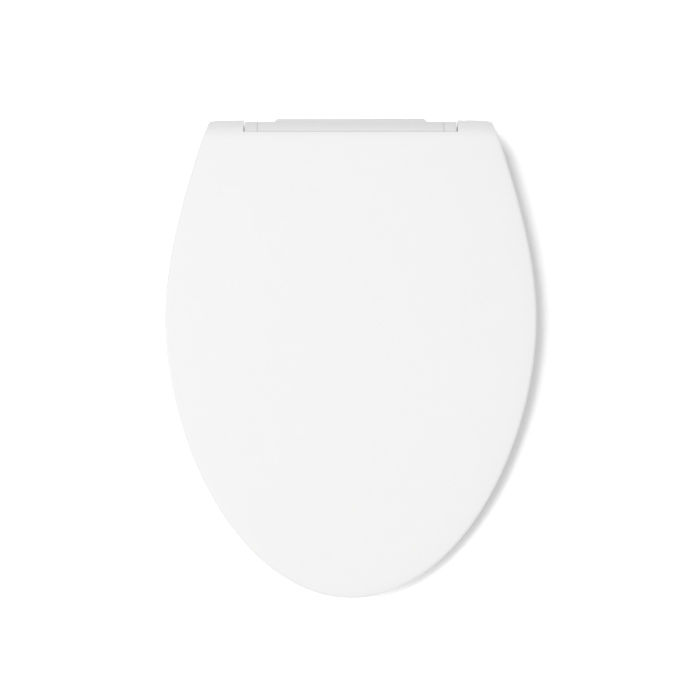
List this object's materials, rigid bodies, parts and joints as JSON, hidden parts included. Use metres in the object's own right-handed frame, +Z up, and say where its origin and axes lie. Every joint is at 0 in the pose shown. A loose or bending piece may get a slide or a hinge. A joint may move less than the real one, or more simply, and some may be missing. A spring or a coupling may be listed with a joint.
{
  "type": "electric bidet seat",
  "caption": "Slim elongated electric bidet seat: a lid and a heated ring seat on soft-close hinges over a slide-on base with spray wands, dryer and side keys.",
  "frame": {"origin": "midway between the two bowl-bolt slots, on the plane of the bowl's rim", "axes": "+X to the right hand of someone facing the hinge end, +Y towards the hinge end and tank, +Z up, square to the rim"},
  "size_m": [0.38, 0.4926, 0.0813],
  "materials": {
    "white_gloss": "glossy white moulded polypropylene",
    "white_satin": "satin white moulded ABS",
    "grey_plastic": "matt light grey plastic",
    "dark_plastic": "matt dark plastic",
    "ivory_nylon": "ivory acetal gear plastic",
    "wand_white": "smooth white wand tube",
    "key_grey": "satin grey keys",
    "grey_rubber": "soft grey rubber",
    "dark_rubber": "soft black rubber",
    "steel": "bright zinc-plated steel",
    "brass_nickel": "nickel-plated brass",
    "copper_coil": "wound copper and heating ribbon",
    "filter_mesh": "blue filter cartridge",
    "tank_plastic": "translucent tank plastic",
    "hose_clear": "milky silicone hose",
    "board_green": "green circuit board",
    "board_black": "black electronic parts",
    "heater_foil": "heating foil",
    "lens_dark": "dark infrared window",
    "lens_clear": "frosted night-light lens"
  },
  "bodies": {
    "mount": {"mounting_plate": "grey_plastic", "plate_pads": "dark_rubber"},
    "base": {"base_tray": "white_satin", "base_cover": "white_gloss", "base_feet": "dark_rubber", "case_screws": "steel", "wand_cradle": "grey_plastic", "wand_motors": "steel", "inlet_fitting": "brass_nickel", "inlet_filter": "filter_mesh", "solenoid_valve": "grey_plastic", "solenoid_coil": "copper_coil", "water_tank": "tank_plastic", "tank_element": "steel", "thermal_cutout": "dark_plastic", "vacuum_breaker": "white_satin", "diverter_valve": "white_satin", "diverter_motor": "steel", "inner_hoses": "hose_clear", "control_board": "board_green", "board_parts": "board_black", "power_gland": "dark_rubber", "blower_housing": "dark_plastic", "blower_motor": "steel", "dryer_element": "copper_coil", "key_board": "board_green", "ir_window": "lens_dark", "night_light": "lens_clear", "release_spring": "steel", "seat_damper": "dark_plastic", "lid_damper": "dark_plastic"},
    "wash_arm": {"wash_wand": "wand_white", "wash_tip": "white_gloss"},
    "bidet_arm": {"bidet_wand": "wand_white", "bidet_tip": "white_gloss"},
    "wash_gear": {"wash_pinion": "ivory_nylon"},
    "bidet_gear": {"bidet_pinion": "ivory_nylon"},
    "impeller": {"blower_impeller": "dark_plastic"},
    "flap": {"dryer_flap": "white_satin"},
    "wash_key_cap": {"wash_key": "key_grey"},
    "bidet_key_cap": {"bidet_key": "key_grey"},
    "power_key_cap": {"power_key": "key_grey"},
    "release": {"release_button": "key_grey"},
    "seat": {"seat_upper_shell": "white_gloss", "seat_lower_shell": "white_satin", "seat_heater": "heater_foil", "seat_bumpers": "grey_rubber", "seat_damper_shaft": "steel"},
    "lid": {"lid_shell": "white_gloss", "lid_bumpers": "grey_rubber", "lid_damper_shaft": "steel", "lid_pivot_pin": "steel"}
  },
  "joints": [
    {"name": "base_slide", "type": "slide", "parent": "mount", "child": "base", "axis": [0, -1, 0], "range_m": [0, 0.06]},
    {"name": "seat_hinge", "type": "hinge", "parent": "base", "child": "seat", "pos_m": [0, 0.012, 0.062], "axis": [-1, 0, 0], "range_deg": [0, 95]},
    {"name": "lid_hinge", "type": "hinge", "parent": "seat", "child": "lid", "pos_m": [0, 0.012, 0.062], "axis": [1, 0, 0], "range_deg": [-105, 0]},
    {"name": "wash_slide", "type": "slide", "parent": "base", "child": "wash_arm", "axis": [0, -0.9636, -0.2672], "range_m": [0, 0.076]},
    {"name": "bidet_slide", "type": "slide", "parent": "base", "child": "bidet_arm", "axis": [0, -0.9636, -0.2672], "range_m": [0, 0.076]},
    {"name": "wash_pinion_spin", "type": "hinge", "parent": "base", "child": "wash_gear", "pos_m": [-0.009, -0.07388, 0.03022], "axis": [1, 0, 0], "range_deg": [-778.6, 1]},
    {"name": "bidet_pinion_spin", "type": "hinge", "parent": "base", "child": "bidet_gear", "pos_m": [0.009, -0.07388, 0.03022], "axis": [1, 0, 0], "range_deg": [-778.6, 1]},
    {"name": "impeller_spin", "type": "hinge", "parent": "base", "child": "impeller", "pos_m": [0.064, -0.038, 0.022], "axis": [0, 0, 1], "continuous": true},
    {"name": "flap_hinge", "type": "hinge", "parent": "base", "child": "flap", "pos_m": [0, -0.0884, 0.0324], "axis": [-1, 0, 0], "range_deg": [0, 70], "stiffness_Nm_per_rad": 0.0004},
    {"name": "wash_key_press", "type": "slide", "parent": "base", "child": "wash_key_cap", "axis": [-1, 0, 0], "range_m": [0, 0.0012], "stiffness_N_per_m": 800},
    {"name": "bidet_key_press", "type": "slide", "parent": "base", "child": "bidet_key_cap", "axis": [-1, 0, 0], "range_m": [0, 0.0012], "stiffness_N_per_m": 800},
    {"name": "power_key_press", "type": "slide", "parent": "base", "child": "power_key_cap", "axis": [-1, 0, 0], "range_m": [0, 0.0012], "stiffness_N_per_m": 800},
    {"name": "release_press", "type": "slide", "parent": "base", "child": "release", "axis": [-1, 0, 0], "range_m": [0, 0.003], "stiffness_N_per_m": 1200, "deforming": ["release_spring"]}
  ],
  "couplings": [
    {"joint": "wash_pinion_spin", "follows": "wash_slide", "rad_per_m": -178.57},
    {"joint": "bidet_pinion_spin", "follows": "bidet_slide", "rad_per_m": -178.57}
  ]
}
